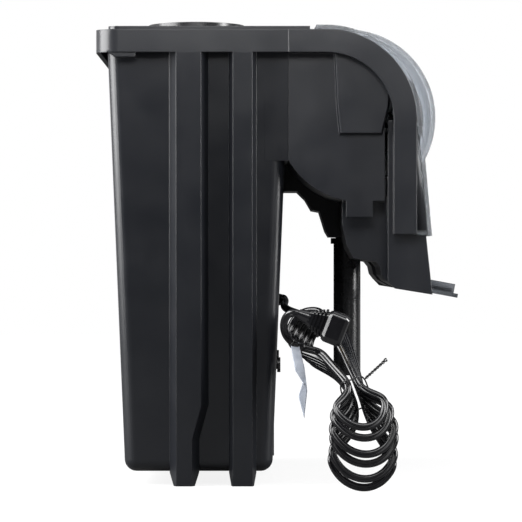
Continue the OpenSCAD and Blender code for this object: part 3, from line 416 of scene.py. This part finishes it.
def make_lead():
    path = cord_points()
    lead = sweep("mains_lead", path, twin_outline(), CORD_FACE)
    tag = make_tag()
    sleeve = make_sleeve()
    ties = make_tie()
    for piece in (lead, tag, sleeve, *ties):
        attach(piece, "filter")
    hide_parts("cord_lead", "cord_hank", "cord_tail")
    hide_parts("cord_tag")
    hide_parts("hank_tie")
    return lead, tag, sleeve, ties


lead, tag, sleeve, ties = make_lead()


# ---- dark webs that close the wedge between each band's front leg and the hood's panel, standing in for the shade in that wedge ----

SHADE_WEB_Y = (139, 143.4)
SHADE_WEB_EDGE = 0.3
SHADE_WEB_OUTLINE = [(89.8, 236), (90.9, 236), (97.1, 167.6), (89.8, 167.6)]


def make_shade_web(side, name):
    """A thin dark web at one end of the hood, -1 at the near end and 1 at the far end, put
    where the wedge holds only shade.
    """
    bm = bmesh.new()
    faces = []
    for y in SHADE_WEB_Y:
        faces.append([bm.verts.new(Vector((x, side * y, z)) * MM) for x, z in SHADE_WEB_OUTLINE])
    inner, outer = faces
    bm.faces.new(inner)
    bm.faces.new(reversed(outer))
    for k in range(len(inner)):
        j = (k + 1) % len(inner)
        bm.faces.new((inner[k], inner[j], outer[j], outer[k]))
    bmesh.ops.recalc_face_normals(bm, faces=bm.faces)
    bmesh.ops.bevel(bm, geom=bm.edges, offset=SHADE_WEB_EDGE * MM, segments=2, affect="EDGES")
    shade_web = mesh_piece(name, bm)
    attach(shade_web, "filter")
    return shade_web


shade_webs = [make_shade_web(-1, "band_shade_web_left"), make_shade_web(1, "band_shade_web_right")]


# ---- soft pads in the chamber ----

PAD_SINK = 0.6
PAD_CUTS = 27
PAD_DRAWN_FROM = 0.86
PAD_DRAWN_IN = 0.22
PAD_CORNER_IN = 0.012
PAD_FACE_FROM = 0.9
PAD_LUMP = 0.5
PAD_LUMP_SCALE = Vector((2, 9, 15))


def make_pad(node):
    """A floss pad with a soft crown, drawn-in edges and a lumpy surface."""
    low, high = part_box(node)
    centre = (low + high) / 2
    half = (high - low) / 2 - Vector((PAD_SINK, PAD_SINK, PAD_SINK)) * MM
    bm = bmesh.new()
    bmesh.ops.create_cube(bm, size=1)
    bmesh.ops.subdivide_edges(bm, edges=bm.edges, cuts=PAD_CUTS, use_grid_fill=True)
    for vert in bm.verts:
        at = Vector(vert.co) * 2
        rim = max(abs(at.y), abs(at.z))
        near_rim = max(0, (rim - PAD_DRAWN_FROM) / (1 - PAD_DRAWN_FROM))
        drawn = 1 - PAD_DRAWN_IN * near_rim ** 2
        corner = 1 - PAD_CORNER_IN * abs(at.x) ** 4
        lump = PAD_LUMP * MM * noise.noise(at * PAD_LUMP_SCALE)
        on_face = abs(at.x) > PAD_FACE_FROM
        vert.co = centre + Vector((
            at.x * half.x * drawn + math.copysign(lump, at.x) * on_face,
            at.y * half.y * corner,
            at.z * half.z * corner,
        ))
    pad = mesh_piece(node + "_pad", bm)
    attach(pad, "filter")
    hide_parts(node)
    return pad


pads = [make_pad("floss_left"), make_pad("floss_right")]


# ---- materials ----


# What most of a noise texture's values lie between
NOISE_LOW = 0.3
NOISE_HIGH = 0.7


class Look:
    """A material with one Principled shader, and helpers that feed its sockets."""

    def __init__(self, name):
        self.material = bpy.data.materials.new(name)
        self.material.use_nodes = True
        self.tree = self.material.node_tree
        self.shader = self.tree.nodes["Principled BSDF"]
        self.place = self.node("ShaderNodeTexCoord").outputs["Object"]

    def node(self, kind, **settings):
        made = self.tree.nodes.new(kind)
        for key, value in settings.items():
            setattr(made, key, value)
        return made

    def link(self, out, socket):
        self.tree.links.new(out, socket)

    def set(self, **values):
        """Sets sockets of the shader that are the same all over, such as roughness."""
        for key, value in values.items():
            self.shader.inputs[key.replace("_", " ")].default_value = value

    def stretched(self, scale):
        """The place, scaled along X, Y and Z."""
        mapping = self.node("ShaderNodeMapping")
        mapping.inputs["Scale"].default_value = scale
        self.link(self.place, mapping.inputs["Vector"])
        return mapping.outputs["Vector"]

    def noise(self, scale, detail=3, stretch=(1, 1, 1)):
        made = self.node("ShaderNodeTexNoise")
        made.inputs["Scale"].default_value = scale
        made.inputs["Detail"].default_value = detail
        self.link(self.stretched(stretch), made.inputs["Vector"])
        return made.outputs["Fac"]

    def waves(self, scale, axis, stretch=(1, 1, 1)):
        made = self.node("ShaderNodeTexWave", wave_type="BANDS", bands_direction=axis)
        made.inputs["Scale"].default_value = scale
        made.inputs["Distortion"].default_value = 0
        self.link(self.stretched(stretch), made.inputs["Vector"])
        return made.outputs["Fac"]

    def ranged(self, value, low, high, first=NOISE_LOW, last=NOISE_HIGH):
        """The value, spread from first-last onto low-high."""
        made = self.node("ShaderNodeMapRange")
        made.inputs["From Min"].default_value = first
        made.inputs["From Max"].default_value = last
        made.inputs["To Min"].default_value = low
        made.inputs["To Max"].default_value = high
        self.link(value, made.inputs["Value"])
        return made.outputs["Result"]

    def math(self, operation, a, b):
        made = self.node("ShaderNodeMath", operation=operation)
        for socket, value in zip(made.inputs, (a, b)):
            if isinstance(value, (int, float)):
                socket.default_value = value
            else:
                self.link(value, socket)
        return made.outputs["Value"]

    def colours(self, value, first, second):
        """Blends from the first colour to the second over a noise's usual values."""
        ramp = self.node("ShaderNodeValToRGB")
        low, high = ramp.color_ramp.elements
        low.position = NOISE_LOW
        low.color = (*first, 1)
        high.position = NOISE_HIGH
        high.color = (*second, 1)
        self.link(value, ramp.inputs["Fac"])
        self.link(ramp.outputs["Color"], self.shader.inputs["Base Color"])

    def painted_edge_shade(self, shade, first):
        """Paints shade: blends the colour to a dark shade where a face turns away from the eye.
        """
        weight = self.node("ShaderNodeLayerWeight")
        blend = self.node("ShaderNodeMix", data_type="RGBA")
        colour = self.shader.inputs["Base Color"].links[0].from_socket
        share = self.ranged(weight.outputs["Facing"], 0, 1, first, 1)
        factor, start, end, mixed = (
            blend.inputs[0], blend.inputs[6], blend.inputs[7], blend.outputs[2]
        )
        self.link(share, factor)
        self.link(colour, start)
        end.default_value = (*shade, 1)
        self.link(mixed, self.shader.inputs["Base Color"])

    def rough(self, value, low, high):
        self.link(self.ranged(value, low, high), self.shader.inputs["Roughness"])

    def relief(self, height, depth, strength=1, edge=0):
        """Bump of the given depth, over edges rounded by the given radius, in metres."""
        bump = self.node("ShaderNodeBump")
        bump.inputs["Strength"].default_value = strength
        bump.inputs["Distance"].default_value = depth
        self.link(height, bump.inputs["Height"])
        if edge:
            bevel = self.node("ShaderNodeBevel", samples=6)
            bevel.inputs["Radius"].default_value = edge
            self.link(bevel.outputs["Normal"], bump.inputs["Normal"])
        self.link(bump.outputs["Normal"], self.shader.inputs["Normal"])


def body_black():
    """Moulded black plastic: fine satin grain, faint flow marks and rounded edges."""
    look = Look("body_black")
    flow = look.noise(9, 4, (1, 1, 0.25))
    look.colours(flow, (0.0055, 0.0063, 0.0085), (0.0098, 0.0107, 0.0138))
    look.rough(look.noise(38, 4), 0.28, 0.37)
    look.relief(look.noise(1100, 2), 0.06 * MM, 0.35, edge=0.8 * MM)
    return look.material


def gloss_black(name, rough, edge):
    """Smooth black plastic, from satin to glossy by the roughness given."""
    look = Look(name)
    look.colours(look.noise(30, 3), (0.008, 0.008, 0.009), (0.014, 0.014, 0.015))
    look.rough(look.noise(160, 5), rough, rough + 0.08)
    look.relief(look.noise(260, 3), 0.015 * MM, 0.15, edge=edge)
    return look.material


# Painted shade: the dark colour that smoked plastic is painted towards at its rims, and the
# facing share where that starts
SMOKE_PAINTED_SHADE = (0.02, 0.022, 0.026)
SMOKE_PAINTED_SHADE_FROM = 0.8


def smoked_clear(name, first, second):
    """Smoked clear plastic with a polished, slightly uneven face, its colour painted darker
    towards its rims as painted shade.
    """
    look = Look(name)
    look.colours(look.noise(14, 2), first, second)
    look.painted_edge_shade(SMOKE_PAINTED_SHADE, SMOKE_PAINTED_SHADE_FROM)
    look.set(IOR=1.45, Transmission_Weight=0.93)
    look.rough(look.noise(90, 4), 0.13, 0.21)
    look.relief(look.noise(24, 2), 0.04 * MM, 0.12, edge=0.6 * MM)
    return look.material


def wheel_media():
    """Pleated sheet of plastic mesh: a fine open weave, greyed at random."""
    look = Look("wheel_media")
    weave = look.math("MULTIPLY", look.waves(330, "Y"), look.waves(330, "Z"))
    dust = look.ranged(look.noise(60), 0.1, 0.4)
    tone = look.math("ADD", look.math("MULTIPLY", weave, 0.5), dust)
    look.colours(tone, (0.34, 0.37, 0.37), (0.78, 0.80, 0.79))
    look.set(Roughness=0.62)
    look.relief(weave, 0.3 * MM, 0.7)
    return look.material


def white_plastic():
    """Plain white moulded plastic with a faint grain."""
    look = Look("bearing_white")
    look.colours(look.noise(45), (0.62, 0.62, 0.59), (0.72, 0.72, 0.70))
    look.rough(look.noise(300, 3), 0.32, 0.45)
    look.relief(look.noise(900, 2), 0.03 * MM, 0.2, edge=0.4 * MM)
    return look.material


def magnet():
    """Dark coated ferrite with a fine speckle."""
    look = Look("magnet")
    look.colours(look.noise(1100, 2), (0.03, 0.03, 0.033), (0.08, 0.08, 0.085))
    look.set(Metallic=0.35)
    look.rough(look.noise(240, 3), 0.4, 0.6)
    look.relief(look.noise(1300, 2), 0.04 * MM, 0.3, edge=0.4 * MM)
    return look.material


def ground_steel(name, first, second, scale, axis):
    """Bare steel with fine lines across the axis: grinding marks or laminations."""
    look = Look(name)
    lines = look.waves(scale, axis)
    look.colours(lines, first, second)
    look.set(Metallic=1.0)
    look.rough(look.noise(500, 3), 0.2, 0.34)
    look.relief(lines, 0.04 * MM, 0.3, edge=0.3 * MM)
    return look.material


def copper_coil():
    """Enamelled copper wire, wound side by side."""
    look = Look("coil_copper")
    wire = look.waves(700, "Y")
    look.colours(wire, (0.16, 0.05, 0.02), (0.60, 0.25, 0.12))
    look.set(Metallic=0.9)
    look.rough(look.noise(300, 3), 0.22, 0.36)
    look.relief(wire, 0.25 * MM, 0.8)
    return look.material


def bush_rubber():
    """Matt black rubber."""
    look = Look("bush_rubber")
    look.colours(look.noise(200), (0.012, 0.012, 0.012), (0.03, 0.03, 0.03))
    look.rough(look.noise(700), 0.6, 0.8)
    look.relief(look.noise(1200, 2), 0.05 * MM, 0.3, edge=0.4 * MM)
    return look.material


def cartridge_blue():
    """Blue moulded plastic with a fine grain."""
    look = Look("cartridge_blue")
    look.colours(look.noise(25), (0.04, 0.13, 0.30), (0.07, 0.18, 0.38))
    look.rough(look.noise(300, 3), 0.35, 0.5)
    look.relief(look.noise(1100, 2), 0.04 * MM, 0.25, edge=0.5 * MM)
    return look.material


def floss_white():
    """Bonded polyester floss: tangled fibres over soft lumps."""
    look = Look("floss_white")
    fibres = look.noise(700, 8, (1, 0.35, 1))
    look.colours(fibres, (0.52, 0.58, 0.62), (0.86, 0.89, 0.91))
    look.set(Roughness=0.9, Sheen_Weight=0.5)
    look.relief(fibres, 0.8 * MM, 0.8)
    return look.material


def lead_pvc():
    """Soft black cable sheath: glossy, with a faint wave along it."""
    look = Look("lead_pvc")
    look.colours(look.noise(70, 3), (0.003, 0.003, 0.004), (0.007, 0.007, 0.008))
    look.rough(look.noise(220, 4), 0.11, 0.2)
    look.relief(look.noise(180, 2), 0.12 * MM, 0.25)
    return look.material


def plug_metal():
    """Brass blades with fine lines along them."""
    look = Look("plug_metal")
    look.colours(look.noise(180), (0.52, 0.38, 0.17), (0.68, 0.52, 0.27))
    look.set(Metallic=1.0)
    look.rough(look.noise(500, 4, (0.2, 1, 1)), 0.16, 0.3)
    look.relief(look.noise(700, 3, (0.2, 1, 1)), 0.02 * MM, 0.3, edge=0.3 * MM)
    return look.material


def tag_paper():
    """Grey paper with a faint mottle."""
    look = Look("tag_paper")
    look.colours(look.noise(160, 5), (0.27, 0.30, 0.36), (0.44, 0.47, 0.53))
    look.set(Roughness=0.55)
    look.relief(look.noise(420, 5), 0.05 * MM, 0.4)
    return look.material


def material_slots():
    """One material for each slot of the record."""
    return {
        "body_black": body_black(),
        "gloss_black": gloss_black("gloss_black", 0.24, 0.6 * MM),
        "smoked_clear": smoked_clear("smoked_clear", (0.80, 0.83, 0.87), (0.86, 0.89, 0.93)),
        "wheel_media": wheel_media(),
        "bearing_white": white_plastic(),
        "magnet": magnet(),
        "shaft_steel": ground_steel(
            "shaft_steel", (0.52, 0.53, 0.55), (0.64, 0.65, 0.67), 1500, "Z"
        ),
        "bush_rubber": bush_rubber(),
        "core_steel": ground_steel(
            "core_steel", (0.14, 0.145, 0.15), (0.36, 0.37, 0.39), 800, "X"
        ),
        "coil_copper": copper_coil(),
        "cartridge_blue": cartridge_blue(),
        "floss_white": floss_white(),
        "lead_pvc": lead_pvc(),
        "plug_metal": plug_metal(),
        "tie_black": gloss_black("tie_black", 0.3, 0),
        "tag_paper": tag_paper(),
    }


def dress(piece, material):
    piece.data.materials.clear()
    piece.data.materials.append(material)


def dress_all():
    """Gives each CAD node the material of its slot, and each new piece that of its kind."""
    made = material_slots()
    for part in frame["record"]["subparts"]:
        dress(nodes[part["node"]], made[part["material_slot"]])
    # The spout lip gets a darker copy of the smoked plastic: painted shade for clear plastic
    # seen edge-on through its thickness
    lip = smoked_clear("smoked_lip_painted_shade", (0.13, 0.145, 0.16), (0.19, 0.20, 0.22))
    dress(nodes["spout_lip"], lip)
    new_pieces = {
        "lead_pvc": [lead, sleeve],
        "tag_paper": [tag],
        "tie_black": ties,
        "floss_white": pads,
        # The dark webs stand in for shade in the wedge beside each band
        "body_black": shade_webs,
    }
    for slot, pieces in new_pieces.items():
        for piece in pieces:
            dress(piece, made[slot])


dress_all()


# ---- floor, backdrop and light ----

FLOOR_SIZE = 8
FLOOR_DROP = 0.05 * MM
SHADOW_REACH = (0.22, 0.75)
FLOOR_GREY = (0.14, 0.14, 0.14, 1)
FLOOR_GLOW = (0.86, 1)
WORLD_WHITE = (1, 1, 1, 1)
WORLD_DIM = (0.9, 0.94, 1, 1)
WORLD_DIM_STRENGTH = 0.06


def seen_by_eye(tree):
    """1 for rays straight from the camera or on through clear plastic, otherwise 0."""
    path = tree.nodes.new("ShaderNodeLightPath")
    seen = tree.nodes.new("ShaderNodeMath")
    seen.operation = "MAXIMUM"
    tree.links.new(path.outputs["Is Camera Ray"], seen.inputs[0])
    tree.links.new(path.outputs["Is Transmission Ray"], seen.inputs[1])
    return seen.outputs["Value"]


def floor_material():
    """A pale floor that takes shadows near the filter and fades to plain white further off."""
    material = bpy.data.materials.new("floor_white")
    material.use_nodes = True
    tree = material.node_tree
    tree.nodes.clear()
    out = tree.nodes.new("ShaderNodeOutputMaterial")
    pale = tree.nodes.new("ShaderNodeBsdfDiffuse")
    pale.inputs["Color"].default_value = FLOOR_GREY
    place = tree.nodes.new("ShaderNodeTexCoord")
    reach = tree.nodes.new("ShaderNodeVectorMath")
    reach.operation = "LENGTH"
    fade = tree.nodes.new("ShaderNodeMapRange")
    fade.inputs["From Min"].default_value = SHADOW_REACH[0]
    fade.inputs["From Max"].default_value = SHADOW_REACH[1]
    fade.inputs["To Min"].default_value = FLOOR_GLOW[0]
    fade.inputs["To Max"].default_value = FLOOR_GLOW[1]
    level = tree.nodes.new("ShaderNodeMath")
    level.operation = "MULTIPLY"
    glow = tree.nodes.new("ShaderNodeEmission")
    both = tree.nodes.new("ShaderNodeAddShader")
    tree.links.new(place.outputs["Object"], reach.inputs[0])
    tree.links.new(reach.outputs["Value"], fade.inputs["Value"])
    tree.links.new(fade.outputs["Result"], level.inputs[0])
    tree.links.new(seen_by_eye(tree), level.inputs[1])
    tree.links.new(level.outputs["Value"], glow.inputs["Strength"])
    tree.links.new(pale.outputs[0], both.inputs[0])
    tree.links.new(glow.outputs[0], both.inputs[1])
    tree.links.new(both.outputs[0], out.inputs["Surface"])
    return material


def make_floor():
    bm = bmesh.new()
    bmesh.ops.create_grid(bm, x_segments=1, y_segments=1, size=FLOOR_SIZE / 2)
    floor = mesh_piece("floor", bm)
    floor.location.z = -FLOOR_DROP
    dress(floor, floor_material())


def make_world():
    """White to the camera and through clear plastic, and a dim grey light for all else."""
    world = bpy.data.worlds.new("studio")
    bpy.context.scene.world = world
    world.use_nodes = True
    tree = world.node_tree
    tree.nodes.clear()
    out = tree.nodes.new("ShaderNodeOutputWorld")
    seen = tree.nodes.new("ShaderNodeBackground")
    seen.inputs["Color"].default_value = WORLD_WHITE
    seen.inputs["Strength"].default_value = 1
    lit = tree.nodes.new("ShaderNodeBackground")
    lit.inputs["Color"].default_value = WORLD_DIM
    lit.inputs["Strength"].default_value = WORLD_DIM_STRENGTH
    mix = tree.nodes.new("ShaderNodeMixShader")
    tree.links.new(seen_by_eye(tree), mix.inputs["Fac"])
    tree.links.new(lit.outputs[0], mix.inputs[1])
    tree.links.new(seen.outputs[0], mix.inputs[2])
    tree.links.new(mix.outputs[0], out.inputs["Surface"])


def softbox(name, at, towards, width, height, power):
    """A rectangular lamp at one point that faces another, in metres and watts."""
    data = bpy.data.lights.new(name, "AREA")
    data.shape = "RECTANGLE"
    data.size = width
    data.size_y = height
    data.energy = power
    lamp = bpy.data.objects.new(name, data)
    lamp.location = at
    lamp.rotation_euler = (Vector(towards) - Vector(at)).to_track_quat("-Z", "Y").to_euler()
    bpy.context.scene.collection.objects.link(lamp)


def make_lights():
    """Lamps on each side for corners and ribs, two near the front, cards behind, one on top."""
    middle = (0, 0, 0.17)
    softbox("near_front", (-0.02, -0.5, 0.45), (0, -0.14, 0.24), 0.3, 0.15, 1.2)
    softbox("wide_front", (0.1, -1.3, 1.0), (0, -0.1, 0.2), 1.0, 0.6, 3.4)
    softbox("low_right", (0.25, -0.6, 0.2), (0.09, -0.14, 0.15), 0.15, 0.15, 0.14)
    softbox("left", (-0.8, -0.26, 0.5), (-0.08, -0.1, 0.2), 0.75, 0.8, 25)
    softbox("right", (0.78, -0.3, 0.42), (0.1, -0.14, 0.2), 0.25, 0.6, 11)
    softbox("card_rear_left", (-1.2, 1.15, 0.5), middle, 1.5, 1.6, 5)
    softbox("card_rear_right", (1.2, 1.15, 0.5), middle, 1.5, 1.6, 5)
    softbox("top", (0.0, 0.0, 1.3), middle, 1.2, 1.2, 7)


make_floor()
make_world()
make_lights()
bpy.context.scene.view_settings.view_transform = "Standard"
bpy.context.scene.view_settings.look = "None"
